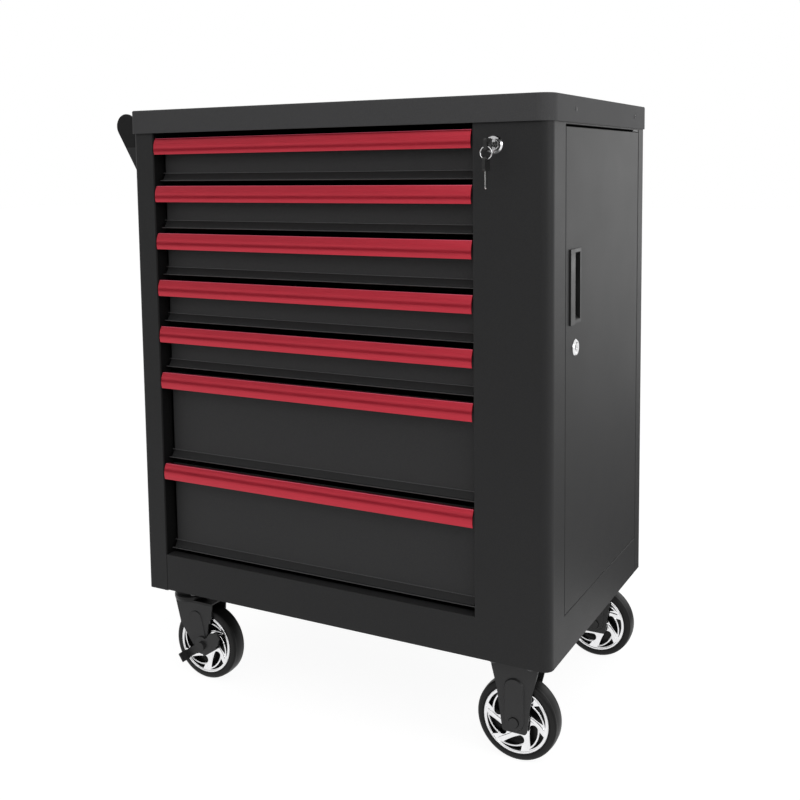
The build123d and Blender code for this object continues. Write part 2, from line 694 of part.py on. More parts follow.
def door_lock_plug():
    """Plug of the door lock with its cam, which hangs down at rest and points forward when locked."""
    plug = placed(door_lock_plane, plug_body(door_bezel_t, door_barrel_len))
    x = body_w - door_barrel_len - cam_gap
    tail = rod(plug_r - 1.5, (body_w - door_barrel_len, door_lock_y, door_lock_z), -cam_gap - cam_t, (1, 0, 0))
    half = door_cam_w / 2
    outline = make_hull((Circle(half) + Pos(0, -door_cam_l + half) * Circle(half * 0.7)).edges())
    plane = Plane(origin=(x, door_lock_y, door_lock_z), x_dir=(0, 1, 0), z_dir=(1, 0, 0))
    cam = extrude(plane * outline, -cam_t)
    return plug + tail + cam


def door_hinges():
    """Pivot hinges: a pin standing on the sill, and a pin under a leaf at the head of the jamb."""
    low_z, high_z = apron_h + door_side_gap, door_top - door_top_gap
    lower = rod(hinge_pin_r, (hinge_x, hinge_y, apron_h - sheet), sheet + door_side_gap + sheet + 4, (0, 0, 1))
    lower += rod(hinge_pin_r + 2.5, (hinge_x, hinge_y, apron_h), door_side_gap - seam, (0, 0, 1))
    upper = rod(hinge_pin_r, (hinge_x, hinge_y, high_z - sheet - 4), sheet + 4 + door_top_gap, (0, 0, 1))
    upper += block(
        body_w - jamb, body_w - 1.0, hinge_y - 9, door_y1 + seam, door_top - 1.8, door_top
    )
    return [lower, upper]


# ---- push handle ----
def bracket_outline():
    """Teardrop in the handle's profile: round the tube at one end, straight against the wall."""
    lobe = Pos(-grip_out, grip_z) * Circle(lobe_r)
    wall = Pos(-1.0, (bracket_low + bracket_high) / 2) * Rectangle(2.0, bracket_high - bracket_low)
    return make_hull((lobe + wall).edges())


def handle_brackets():
    """Two pressed brackets: a teardrop cheek and a foot folded along the wall."""
    brackets = []
    for face_y, inward in ((handle_y, 1), (handle_end, -1)):
        plane = Plane(origin=(0, face_y, 0), x_dir=(1, 0, 0), z_dir=(0, -1, 0))
        cheek = extrude(plane * bracket_outline(), -inward * bracket_t)
        near, far = sorted((face_y, face_y + inward * bracket_foot))
        foot = block(-bracket_t, 0, near, far, bracket_low + 6, bracket_high - 3)
        brackets.append(cheek + foot)
    return brackets


def handle_tube():
    """Grip tube between the brackets."""
    start = handle_y + bracket_t
    length = handle_end - bracket_t - start
    outer = rod(tube_r, (-grip_out, start, grip_z), length, (0, 1, 0))
    return outer - rod(tube_r - tube_wall, (-grip_out, start - 1, grip_z), length + 2, (0, 1, 0))


# ---- casters ----
def tyre(centre):
    """Rubber tyre: a crowned tread with round shoulders on a flat bed."""
    half, bead = wheel_w / 2, 2.5
    shoulder = 6.5
    points = [
        (rim_r, -half + bead), (trim_r + seam, -half + bead), (trim_r + seam, -half), (wheel_r - shoulder, -half),
    ]
    side = Polyline(*points)
    upper = Polyline(*[(r, -y) for r, y in reversed(points)])
    bend_low = ThreePointArc(
        (wheel_r - shoulder, -half), (wheel_r - shoulder * 0.3, -half + shoulder * 0.32),
        (wheel_r - 0.8, -half + shoulder),
    )
    bend_high = ThreePointArc(
        (wheel_r - 0.8, half - shoulder), (wheel_r - shoulder * 0.3, half - shoulder * 0.32),
        (wheel_r - shoulder, half),
    )
    tread = ThreePointArc((wheel_r - 0.8, -half + shoulder), (wheel_r, 0), (wheel_r - 0.8, half - shoulder))
    bed = Line((rim_r, half - bead), (rim_r, -half + bead))
    pieces = [side, bend_low, tread, bend_high, upper, bed]
    section = make_face([edge for piece in pieces for edge in piece.edges()])
    return Pos(*centre) * revolve(section, Axis.Y)


def hub(centre):
    """Wheel centre: rim, dished web and bored boss."""
    half = wheel_w / 2 - 2.5
    boss = wheel_w / 2 - 0.8
    bore = axle_r + axle_play
    profile = [
        (bore, -boss), (11, -boss), (14, -3.5), (rim_r - 4, -3.5), (rim_r - 3, -half), (rim_r, -half),
        (rim_r, half), (rim_r - 3, half), (rim_r - 4, 3.5), (14, 3.5), (11, boss), (bore, boss),
    ]
    return ring_solid(profile, centre)


def swirl_cell(turn):
    """Openings between one blade of a cover and the next: an inner window and an outer slot."""
    def at(share, angle):
        return polar(trim_r * share, turn + angle)

    window = [
        ThreePointArc(at(0.84, 13), at(0.775, 34), at(0.69, 60)),
        ThreePointArc(at(0.69, 60), at(0.56, 67), at(0.45, 58)),
        ThreePointArc(at(0.45, 58), at(0.55, 31), at(0.84, 13)),
    ]
    slot = [
        ThreePointArc(at(0.905, 7), at(0.83, 32), at(0.76, 55)),
        Line(at(0.76, 55), at(0.92, 50)),
        ThreePointArc(at(0.92, 50), at(0.92, 30), at(0.905, 7)),
    ]
    return [make_face([edge for piece in outline for edge in piece.edges()]) for outline in (window, slot)]


def trim_face(turn):
    """Swirl cover: a disc whose blades sweep from the hub to the ring."""
    face = Circle(trim_r) - Circle(11.5)
    for number in range(blade_count):
        for opening in swirl_cell(turn + number * 360 / blade_count):
            face -= opening
    return face


def trims(centre, turn):
    """The two swirl covers of a wheel, one on each side of the hub."""
    seat = wheel_w / 2 - 2.5
    plane = Plane(origin=(0, -seat, 0), x_dir=(1, 0, 0), z_dir=(0, -1, 0))
    front = extrude(plane * trim_face(turn), trim_t)
    back = Rot(0, 0, 180) * front
    return [Pos(*centre) * front, Pos(*centre) * back]


def axle(centre, front_reach):
    """Axle bolt with its head before the fork, its nut behind, and a spacer each side of the hub."""
    boss = wheel_w / 2 - 0.8 + seam
    profile = [
        (0, -front_reach - 5), (7.5, -front_reach - 5), (7.5, -front_reach), (axle_r, -front_reach),
        (axle_r, -leg_in), (7, -leg_in), (7, -boss), (axle_r, -boss), (axle_r, boss), (7, boss), (7, leg_in),
        (axle_r, leg_in), (axle_r, leg_out), (7.5, leg_out), (7.5, leg_out + 6), (0, leg_out + 6),
    ]
    return ring_solid(profile, centre)


def leg(outline, y, centre_y, rib, rib_outline, wheel_x):
    """One fork leg: a plate with a bored foot and a raised rib on its outer side."""
    outward = 1 if y > centre_y else -1
    plane = Plane(origin=(0, y, 0), x_dir=(1, 0, 0), z_dir=(0, -1, 0))
    plate = extrude(plane * outline, -outward * fork_sheet)
    rib_plane = Plane(origin=(0, y + outward * fork_sheet, 0), x_dir=(1, 0, 0), z_dir=(0, -1, 0))
    raised = extrude(rib_plane * rib_outline, -outward * rib, taper=30)
    bore = rod(axle_r + 0.1, (wheel_x, centre_y, wheel_z), outward * (leg_out + rib + 1), (0, 1, 0))
    face = rod(8.5, (wheel_x, y + outward * fork_sheet, wheel_z), outward * (rib + 1), (0, 1, 0))
    return plate + (raised - face) - bore


def rib_face(x, low, high):
    """Outline of the raised rib: straight sides, a round top and a round foot."""
    return Pos(x, (low + high) / 2) * SlotCenterToCenter(high - low - rib_w, rib_w, rotation=90)


def fixed_fork(centre_y):
    """Rigid caster: top plate and two tapered legs with a rib down each."""
    plate = block(
        fixed_x - plate_l / 2, fixed_x + plate_l / 2, centre_y - plate_w / 2, centre_y + plate_w / 2, -plate_t, 0
    )
    plate = fillet(plate.edges().filter_by(Axis.Z), 6)
    foot = wheel_z - 17
    points = [
        (-38, -plate_t), (38, -plate_t), (36.5, -17), (28, -50), (19, foot), (-19, foot), (-28, -50), (-36.5, -17),
    ]
    outline = Pos(fixed_x, 0) * make_face(Polyline(*points, close=True))
    outline = fillet(outline.vertices().group_by(Axis.Y)[0], 5)
    rib_outline = rib_face(fixed_x, foot + 3, -30)
    fork = plate
    for y in (centre_y - leg_in, centre_y + leg_in):
        fork += leg(outline, y, centre_y, fixed_rib, rib_outline, fixed_x)
    return fork


def fixed_forks():
    """The two rigid casters' forks, each with its axle."""
    pieces = []
    for centre_y in (wheel_y, rear_wheel_y):
        pieces.append(fixed_fork(centre_y))
        pieces.append(axle((fixed_x, centre_y, wheel_z), leg_out))
    return pieces


def swivel_plate(centre_y):
    """Top plate with the upper race and the kingpin, whose head holds the fork."""
    plate = block(
        pivot_x - plate_l / 2, pivot_x + plate_l / 2, centre_y - plate_w / 2, centre_y + plate_w / 2, -plate_t, 0
    )
    plate = fillet(plate.edges().filter_by(Axis.Z), 6)
    race = [
        (0, -plate_t), (race_r - 2, -plate_t), (race_r, -plate_t - 3), (race_r, -plate_t - race_h + 3),
        (race_r - 2.5, -plate_t - race_h), (king_r, -plate_t - race_h), (king_r, crown_low - race_gap),
        (king_r + 4, crown_low - race_gap), (king_r + 3, crown_low - race_gap - 3), (0, crown_low - race_gap - 3),
    ]
    section = Plane.XZ * make_face(Polyline(*race, close=True))
    return plate + Pos(pivot_x, centre_y, 0) * revolve(section, Axis.Z)


lower_race_top = -plate_t - race_h - race_gap
crown_top = lower_race_top - race_h + 2
crown_low = crown_top - fork_sheet
wheel_x = pivot_x + trail


def swivel_fork(centre_y):
    """Swivel fork: lower race, crown and two legs that lean back to the axle."""
    race = [
        (king_r + axle_play, lower_race_top), (race_r - 2.5, lower_race_top), (race_r, lower_race_top - 3),
        (race_r, crown_top + 1), (race_r - 1, crown_low), (king_r + axle_play, crown_low),
    ]
    section = Plane.XZ * make_face(Polyline(*race, close=True))
    fork = Pos(pivot_x, centre_y, 0) * revolve(section, Axis.Z)
    rear_x = wheel_x + 20
    crown = block(pivot_x, rear_x, centre_y - leg_out, centre_y + leg_out, crown_low, crown_top)
    round_end = extrude(Pos(pivot_x, centre_y, crown_low) * Circle(leg_out + 6), fork_sheet)
    round_end = round_end & block(0, pivot_x, centre_y - leg_out, centre_y + leg_out, crown_low, crown_top)
    king_hole = rod(king_r + axle_play, (pivot_x, centre_y, crown_low - 1), fork_sheet + 2, (0, 0, 1))
    fork += crown + round_end - king_hole
    foot_r = 17.0
    left = pivot_x - leg_out + 2
    points = [
        (left, crown_top), (rear_x, crown_top), (rear_x - 1.5, -46), (wheel_x + 12, -60), (wheel_x + 8, -80),
        (wheel_x, wheel_z), (wheel_x - 14, wheel_z - 9), (wheel_x - 22, wheel_z - 4), (left + 11, -66),
    ]
    outline = make_face(Polyline(*points, close=True)) + Pos(wheel_x, wheel_z) * Circle(foot_r)
    middle = (pivot_x + wheel_x) / 2 + 6
    rib_outline = Pos(middle + 3, -66) * SlotCenterToCenter(30, 24, rotation=105)
    for y in (centre_y - leg_in, centre_y + leg_in):
        fork += leg(outline, y, centre_y, swivel_rib, rib_outline, wheel_x)
    return fork


lever_y = leg_out + swivel_rib + 0.3
lever_reach = lever_y + lever_t + 0.3


def brake_lever(centre_y):
    """Foot brake on the axle: a plate with a lobe, a cam end up and back, and a tread folded outward."""
    turn = 34.0
    body = Rot(0, 0, turn) * (
        Rectangle(84, 14) + Pos(10, -9) * Rectangle(34, 18) + Pos(27, -2) * Circle(12) + Circle(15)
    )
    plane = Plane(origin=(wheel_x, centre_y - lever_y, wheel_z), x_dir=(1, 0, 0), z_dir=(0, -1, 0))
    lever = extrude(plane * body, lever_t)
    lever -= rod(axle_r + 0.06, (wheel_x, centre_y, wheel_z), -lever_y - lever_t - 1, (0, 1, 0))
    tread = Rot(0, 0, turn) * Pos(-42 + 1.25, 0) * Rectangle(2.5, 16)
    tread_plane = Plane(origin=(wheel_x, centre_y - lever_y, wheel_z), x_dir=(1, 0, 0), z_dir=(0, -1, 0))
    return lever + extrude(tread_plane * tread, lever_t + lever_tab)


def main():
    os.makedirs("parts", exist_ok=True)
    save("left_side", left_side())
    save("front_frame", front_frame())
    save("back_panel", back_panel())
    save("base_pan", base_pan())
    save("divider_wall", divider_wall())
    save("slide_uprights", *slide_uprights())
    save("worktop", worktop())
    outers = []
    for number, (top, lip) in enumerate(zip(pull_tops, lip_bottoms), start=1):
        slide_z = lip + slide_rise
        outers += slide_member(outer_section(), slide_z)
        save(f"slide_middle_{number}", *slide_member(middle_section(), slide_z))
        save(f"drawer_{number}", drawer(top, lip), drawer_catch(top), *slide_member(inner_section(), slide_z))
        save(f"drawer_pull_{number}", drawer_pull(top))
    save("slide_outers", *outers)
    save("lock_housing", *lock_housing())
    save("lock_plug", lock_plug())
    save("lock_key", lock_key())
    save("key_ring", key_ring())
    save("spare_key", spare_key())
    save("lock_bar", *lock_bar())
    save("locker_door", locker_door())
    save("door_pull", door_pull())
    save("door_lock_housing", door_lock_housing())
    save("door_lock_plug", door_lock_plug())
    save("door_hinges", *door_hinges())
    save("handle_brackets", *handle_brackets())
    save("handle_tube", handle_tube())
    save("swivel_plates", swivel_plate(wheel_y), swivel_plate(rear_wheel_y))
    save("fixed_forks", *fixed_forks())
    for place, centre_y in (("front", wheel_y), ("rear", rear_wheel_y)):
        centre = (wheel_x, centre_y, wheel_z)
        save(f"swivel_fork_{place}", swivel_fork(centre_y), axle(centre, lever_reach))
        save(f"brake_lever_{place}", brake_lever(centre_y))
    for place, x, centre_y, turn in (
        ("front_left", wheel_x, wheel_y, 32), ("rear_left", wheel_x, rear_wheel_y, 12),
        ("front_right", fixed_x, wheel_y, 49.5), ("rear_right", fixed_x, rear_wheel_y, 25),
    ):
        centre = (x, centre_y, wheel_z)
        save(f"tyre_{place}", tyre(centre))
        save(f"hub_{place}", hub(centre))
        save(f"trim_{place}", *trims(centre, turn))


if __name__ == "__main__":
    main()
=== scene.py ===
from math import cos, pi, radians, sin

import bmesh
import bpy
import numpy as np
from mathutils import Matrix, Vector


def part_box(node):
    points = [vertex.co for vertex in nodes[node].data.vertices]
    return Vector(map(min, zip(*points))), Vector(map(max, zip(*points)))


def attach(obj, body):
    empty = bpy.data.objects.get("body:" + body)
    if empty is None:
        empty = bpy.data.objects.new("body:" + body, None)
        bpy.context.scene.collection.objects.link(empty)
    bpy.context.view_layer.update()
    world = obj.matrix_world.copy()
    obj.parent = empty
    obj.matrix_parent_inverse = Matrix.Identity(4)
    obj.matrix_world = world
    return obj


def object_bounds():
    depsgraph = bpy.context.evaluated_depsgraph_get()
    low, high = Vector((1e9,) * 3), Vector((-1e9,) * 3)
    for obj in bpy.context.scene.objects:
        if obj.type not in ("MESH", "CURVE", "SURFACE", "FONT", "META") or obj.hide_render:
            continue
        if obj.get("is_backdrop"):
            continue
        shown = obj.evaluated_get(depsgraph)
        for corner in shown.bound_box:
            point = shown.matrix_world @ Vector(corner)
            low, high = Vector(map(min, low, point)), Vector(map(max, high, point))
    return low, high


# A rolling tool chest on four casters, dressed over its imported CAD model.
# Metres; X points right, Y back, Z up.
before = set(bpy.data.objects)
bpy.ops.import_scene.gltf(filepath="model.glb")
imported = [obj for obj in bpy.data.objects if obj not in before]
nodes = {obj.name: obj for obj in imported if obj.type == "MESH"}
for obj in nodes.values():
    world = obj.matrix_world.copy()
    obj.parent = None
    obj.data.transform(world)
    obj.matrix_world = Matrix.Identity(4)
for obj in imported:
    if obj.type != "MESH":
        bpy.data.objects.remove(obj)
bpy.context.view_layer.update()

DRAWERS = range(1, 8)
CASTERS = ("front_left", "rear_left", "front_right", "rear_right")


# ---- what finishes are made of ----
def new_finish(name, **constants):
    """A material, its node tree and its shader; a constant's name has _ for a space."""
    material = bpy.data.materials.new(name)
    material.use_nodes = True
    tree = material.node_tree
    shader = tree.nodes["Principled BSDF"]
    for socket, value in constants.items():
        shader.inputs[socket.replace("_", " ")].default_value = value
    return material, tree, shader


def place_of(tree, stretch=(1, 1, 1)):
    """The place on the object, times a stretch along each axis."""
    coordinates = tree.nodes.new("ShaderNodeTexCoord")
    mapping = tree.nodes.new("ShaderNodeMapping")
    mapping.inputs["Scale"].default_value = stretch
    tree.links.new(coordinates.outputs["Object"], mapping.inputs["Vector"])
    return mapping.outputs["Vector"]


def coordinate(tree, place, axis):
    """The X, Y or Z of a place."""
    parts = tree.nodes.new("ShaderNodeSeparateXYZ")
    tree.links.new(place, parts.inputs["Vector"])
    return parts.outputs[axis]


def worked_out(tree, kind, operation, *values):
    """The result of a Math or VectorMath node; a value is a constant or another node's output."""
    node = tree.nodes.new(f"ShaderNode{kind}")
    node.operation = operation
    for socket, value in zip(node.inputs, values):
        if isinstance(value, bpy.types.NodeSocket):
            tree.links.new(value, socket)
        else:
            socket.default_value = value
    return next(socket for socket in node.outputs if socket.enabled)


def noise(tree, place, grains, detail=2.0, roughness=0.5):
    """Noise with a number of grains a metre."""
    node = tree.nodes.new("ShaderNodeTexNoise")
    node.inputs["Scale"].default_value = grains
    node.inputs["Detail"].default_value = detail
    node.inputs["Roughness"].default_value = roughness
    tree.links.new(place, node.inputs["Vector"])
    return node.outputs["Fac"]


def ramp(tree, value, stops):
    """A colour that runs through stops, each a value with its grey shade or its colour."""
    node = tree.nodes.new("ShaderNodeValToRGB")
    elements = node.color_ramp.elements
    for position, _ in stops[2:]:
        elements.new(position)
    for element, (position, shade) in zip(elements, stops):
        element.position = position
        element.color = (shade, shade, shade, 1) if isinstance(shade, float) else (*shade, 1)
    tree.links.new(value, node.inputs["Fac"])
    return node.outputs["Color"]


def between(tree, value, low, high, start=0.3, end=0.7):
    """A shade or a colour that runs from low to high as the value goes from start to end."""
    return ramp(tree, value, ((start, low), (end, high)))


def blended(tree, factor, first, second):
    """The first colour where the factor is 0 and the second where it is 1."""
    mix = tree.nodes.new("ShaderNodeMix")
    mix.data_type = "RGBA"
    tree.links.new(factor, mix.inputs["Factor"])
    colours = [socket for socket in mix.inputs if socket.type == "RGBA"]
    for colour, socket in zip((first, second), colours):
        tree.links.new(colour, socket)
    return next(socket for socket in mix.outputs if socket.type == "RGBA")


def coloured(tree, shader, colour, roughness):
    """Gives a shader its colour and its roughness."""
    tree.links.new(colour, shader.inputs["Base Color"])
    tree.links.new(roughness, shader.inputs["Roughness"])


def raised(tree, shader, height, strength, depth):
    """Bump from a height, depth metres deep."""
    bump = tree.nodes.new("ShaderNodeBump")
    bump.inputs["Strength"].default_value = strength
    bump.inputs["Distance"].default_value = depth
    tree.links.new(height, bump.inputs["Height"])
    tree.links.new(bump.outputs["Normal"], shader.inputs["Normal"])


def tinted(shade, tint):
    """A shade times a tint."""
    return tuple(shade * part for part in tint)


# ---- the chest's finishes ----
COAT_TINT = (1.0, 1.0, 1.02)
PLATING_TINT = (1.0, 1.0, 1.01)


def speckled_coat(tree, grain, shade):
    """The coat's colour, 18% lighter and darker with the grain."""
    dark, light = tinted(0.82 * shade, COAT_TINT), tinted(1.18 * shade, COAT_TINT)
    return between(tree, grain, dark, light, 0.35, 0.65)


def powder_coat(name, shade, rough=(0.46, 0.52), specular=0.22, shade_band=None):
    """Fine-texture powder coat: small grains in colour and relief, faint handling marks in gloss.

    A shade band (axis, from, to, share) is painted shade: it takes the shade down to that share of
    it where the place on the axis is between the two ends.
    """
    material, tree, shader = new_finish(name, Specular_IOR_Level=specular)
    place = place_of(tree)
    grain = noise(tree, place, grains=1500, detail=3.0, roughness=0.6)
    colour = speckled_coat(tree, grain, shade)
    # Painted shade: a darker copy of the coat between the band's two planes.
    if shade_band:
        axis, start, end, share = shade_band
        middle, half = (start + end) / 2, (end - start) / 2
        in_shade_band = worked_out(tree, "Math", "COMPARE", coordinate(tree, place, axis), middle, half)
        colour = blended(tree, in_shade_band, colour, speckled_coat(tree, grain, share * shade))
    marks = noise(tree, place, grains=9, detail=4.0, roughness=0.6)
    coloured(tree, shader, colour, between(tree, marks, *rough, 0.2, 0.8))
    raised(tree, shader, grain, strength=0.35, depth=0.00025)
    return material


def crimson_lacquer(name, low, high, rough, metal, coat, coat_rough):
    """Crimson lacquer over aluminium, its colour from low to high in faint draw lines along X."""
    material, tree, shader = new_finish(
        name, Metallic=metal, Specular_IOR_Level=0.5, Coat_Weight=coat, Coat_Roughness=coat_rough)
    lines = noise(tree, place_of(tree, (0.03, 1, 1)), grains=900, detail=3.0, roughness=0.6)
    cloud = noise(tree, place_of(tree), grains=14)
    coloured(tree, shader, between(tree, lines, low, high), between(tree, cloud, *rough))
    raised(tree, shader, lines, strength=0.12, depth=0.0001)
    return material


def polished(name, shade, rough, pits=600):
    """Bright plating with small pits, a number of them a metre, and a slightly uneven polish."""
    material, tree, shader = new_finish(name, Metallic=1.0)
    place = place_of(tree)
    cloud = noise(tree, place, grains=60, detail=4.0, roughness=0.6)
    dull, bright = tinted(0.93 * shade, PLATING_TINT), tinted(1.05 * shade, PLATING_TINT)
    coloured(
        tree, shader, between(tree, cloud, dull, bright),
        between(tree, cloud, 0.7 * rough, 1.5 * rough))
    raised(tree, shader, noise(tree, place, grains=pits), strength=0.08, depth=0.0001)
    return material


def zinc_plate(name, along):
    """Zinc plating over rolled strip: fine lines drawn out along the strip, and pale spangle."""
    material, tree, shader = new_finish(name, Metallic=1.0)
    lines = noise(tree, place_of(tree, along), grains=700, detail=3.0, roughness=0.6)
    spangle = noise(tree, place_of(tree), grains=90)
    zinc = between(tree, spangle, (0.46, 0.47, 0.48), (0.62, 0.63, 0.63), 0.35, 0.65)
    coloured(tree, shader, zinc, between(tree, lines, 0.28, 0.46))
    raised(tree, shader, lines, strength=0.15, depth=0.00015)
    return material


def moulded(name, shade, rough, specular=0.35):
    """Moulded plastic: spark-eroded grain and a little unevenness in the colour and gloss."""
    material, tree, shader = new_finish(name, Specular_IOR_Level=specular)
    place = place_of(tree)
    grain = noise(tree, place, grains=1100)
    cloud = noise(tree, place, grains=25, detail=3.0)
    coloured(
        tree, shader, between(tree, cloud, 0.85 * shade, 1.15 * shade),
        between(tree, cloud, *rough))
    raised(tree, shader, grain, strength=0.25, depth=0.00012)
    return material


# A tyre's shades, each with its place from the wheel cover's edge (0) to the tread (1): a groove
# next to the cover in painted shade, a flank painted lighter as lit from the front, a shoulder in
# painted shade and the dark tread.
TYRE_RUBBER_AND_PAINTED_SHADES = (
    (0.0, 0.001), (0.22, 0.001), (0.3, 0.019), (0.72, 0.019), (0.82, 0.003), (1.0, 0.008))
COVER_EDGE_R = 0.051
TREAD_R = 0.0635


def tyre_rubber(name, centre):
    """Rubber whose shade, painted shade and light included, goes by the distance from the axle,
    which runs along Y.
    """
    material, tree, shader = new_finish(name, Specular_IOR_Level=0.2)
    place = place_of(tree)
    offset = worked_out(tree, "VectorMath", "SUBTRACT", place, centre)
    flat = worked_out(tree, "VectorMath", "MULTIPLY", offset, (1, 0, 1))
    share = tree.nodes.new("ShaderNodeMapRange")
    share.inputs["From Min"].default_value = COVER_EDGE_R
    share.inputs["From Max"].default_value = TREAD_R
    tree.links.new(worked_out(tree, "VectorMath", "LENGTH", flat), share.inputs["Value"])
    rubber_and_painted_shades = ramp(tree, share.outputs["Result"], TYRE_RUBBER_AND_PAINTED_SHADES)
    cloud = noise(tree, place, grains=25, detail=3.0)
    coloured(tree, shader, rubber_and_painted_shades, between(tree, cloud, 0.36, 0.5))
    raised(tree, shader, noise(tree, place, grains=700), strength=0.25, depth=0.0002)
    return material


def key_finish(name, axis, side, limit):
    """A plated blade in a black plastic bow: metal on that side of the limit on the axis."""
    material, tree, shader = new_finish(name)
    place = place_of(tree)
    metal = worked_out(tree, "Math", side, coordinate(tree, place, axis), limit)
    cloud = noise(tree, place, grains=300, detail=3.0)
    plating = between(tree, cloud, (0.62, 0.62, 0.61), (0.78, 0.78, 0.77))
    plastic = between(tree, cloud, 0.012, 0.020)
    gloss = between(tree, metal, 0.42, 0.2, 0.0, 1.0)
    coloured(tree, shader, blended(tree, metal, plastic, plating), gloss)
    tree.links.new(metal, shader.inputs["Metallic"])
    raised(tree, shader, noise(tree, place, grains=1600), strength=0.15, depth=0.0001)
    return material


# ---- the finish of each CAD node ----
def dress(finish, *names):
    """Gives every material slot of the named CAD nodes the finish."""
    for name in names:
        for place in nodes[name].material_slots:
            place.material = finish


# Painted highlight: a lighter, glossier copy of the drawers' coat for the hems' edge lines.
hem_highlight_coat = powder_coat("hem_painted_highlight_coat", 0.075, rough=(0.36, 0.42), specular=0.4)
fork_coat = powder_coat("fork_powder_coat", 0.031, rough=(0.38, 0.44), specular=0.35)
pull_red = crimson_lacquer(
    "crimson_lacquer", (0.47, 0.018, 0.037), (0.55, 0.024, 0.047),
    rough=(0.28, 0.34), metal=0.8, coat=0.25, coat_rough=0.12)
# A lighter, polished copy of the pulls' crimson: a painted glint on the rolled lip.
lip_glint_red = crimson_lacquer(
    "crimson_lip_painted_glint", (0.74, 0.08, 0.15), (0.8, 0.1, 0.18),
    rough=(0.06, 0.1), metal=1.0, coat=1.0, coat_rough=0.04)
slide_zinc = zinc_plate("slide_zinc_plate", along=(1, 0.04, 1))
cover_chrome = polished("cover_chrome_plate", 0.86, rough=0.09, pits=900)
bolt_zinc = polished("bolt_black_zinc", 0.08, rough=0.36)

# Cabinet. A dark line of painted shade marks the cut edge of the left post's face, where it turns
# back into the drawer opening.
dress(powder_coat("cabinet_powder_coat", 0.030, specular=0.19),
      "front_frame", "back_panel", "locker_door")
POST_FACE_W = 0.040
RETURN_SHADE_HALF = 0.0016
post_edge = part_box("left_side")[0].x + POST_FACE_W
# Painted shade: a fifth of the coat's shade across the post's turned-in edge.
return_shade = ("X", post_edge - RETURN_SHADE_HALF, post_edge + RETURN_SHADE_HALF, 0.2)
dress(powder_coat("side_powder_coat", 0.030, specular=0.19, shade_band=return_shade), "left_side")
dress(powder_coat("inner_powder_coat", 0.024), "base_pan", "divider_wall", "slide_uprights")
dress(powder_coat("worktop_powder_coat", 0.088, rough=(0.55, 0.62), specular=0.05), "worktop")

# Drawers. The sloping foot of each has painted shade, half the coat's shade, for the shade of its
# own front.
SLOPE_FROM, SLOPE_TO = 0.002, 0.0128
for number in DRAWERS:
    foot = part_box(f"drawer_{number}")[0].z
    # Painted shade on the sloping foot.
    foot_shade = ("Z", foot + SLOPE_FROM, foot + SLOPE_TO, 0.5)
    dress(powder_coat(f"drawer_powder_coat_{number}", 0.041, shade_band=foot_shade), f"drawer_{number}")
    dress(pull_red, f"drawer_pull_{number}")
    dress(slide_zinc, f"slide_middle_{number}")
dress(slide_zinc, "slide_outers")

# Locks, keys and the door's fittings.
dress(polished("lock_chrome_plate", 0.78, rough=0.1),
      "lock_housing", "lock_plug", "key_ring", "door_lock_housing", "door_lock_plug")
dress(zinc_plate("bar_zinc_plate", along=(1, 1, 0.04)), "lock_bar")
dress(moulded("grip_black_plastic", 0.012, rough=(0.34, 0.46)), "door_pull")
dress(bolt_zinc, "door_hinges")
KEY_BOW_L = 0.020
dress(key_finish("lock_key_finish", "Y", "GREATER_THAN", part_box("lock_key")[0].y + KEY_BOW_L),
      "lock_key")
dress(key_finish("spare_key_finish", "Z", "LESS_THAN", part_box("spare_key")[1].z - KEY_BOW_L),
      "spare_key")

# Handle. Painted shade darkens the upper part of the brackets to 15% of their shade.
SHADED_SHARE = 0.43
bracket_low, bracket_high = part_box("handle_brackets")
shade_z = bracket_high.z - SHADED_SHARE * (bracket_high.z - bracket_low.z)
bracket_shade = ("Z", shade_z, bracket_high.z, 0.15)
dress(powder_coat("bracket_coat", 0.034, rough=(0.38, 0.44), shade_band=bracket_shade), "handle_brackets")
dress(powder_coat("tube_powder_coat", 0.016, rough=(0.3, 0.42)), "handle_tube")

# Casters. Painted shade: the swivel plates are coated near black, and the crowns of the swivel
# forks are darkened for the shade of their plates.
CROWN_DROP, CROWN_RISE = 0.0125, 0.001
# Painted shade: a near-black coat on the plates under the base.
dress(powder_coat("plate_painted_shade_coat", 0.006, specular=0.1), "swivel_plates")
dress(fork_coat, "fixed_forks", "brake_lever_front", "brake_lever_rear")
for name in ("swivel_fork_front", "swivel_fork_rear"):
    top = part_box(name)[1].z
    # Painted shade on the crown of each swivel fork.
    crown = ("Z", top - CROWN_DROP, top + CROWN_RISE, 0.12)
    dress(powder_coat(f"{name}_coat", 0.031, rough=(0.38, 0.44), specular=0.3, shade_band=crown), name)
hub_black = moulded("hub_black_plastic", 0.010, rough=(0.25, 0.38), specular=0.2)
for place in CASTERS:
    low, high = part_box(f"tyre_{place}")
    dress(tyre_rubber(f"tyre_rubber_{place}", (low + high) / 2), f"tyre_{place}")
    dress(hub_black, f"hub_{place}")
    dress(cover_chrome, f"trim_{place}")


# ---- surfaces, each a grid of points whose rows close on themselves ----
def turned(profile, count=48):
    """A profile in radius and height, turned about Z: x = r cos a, y = r sin a, z = h."""
    radius, height = np.array(profile, dtype=float).T
    angle = np.linspace(0, 2 * pi, count, endpoint=False)
    x, y = np.outer(radius, np.cos(angle)), np.outer(radius, np.sin(angle))
    return np.stack([x, y, np.repeat(height[:, None], count, axis=1)], axis=-1)


def rivet(radius, height, count=24, rows=6):
    """Low dome: a quarter of an ellipse turned about Z, closed by its foot."""
    rise = np.linspace(0, pi / 2, rows)
    profile = [(radius * sin(a), height * cos(a)) for a in rise] + [(0.0, 0.0)]
    return turned(profile, count)


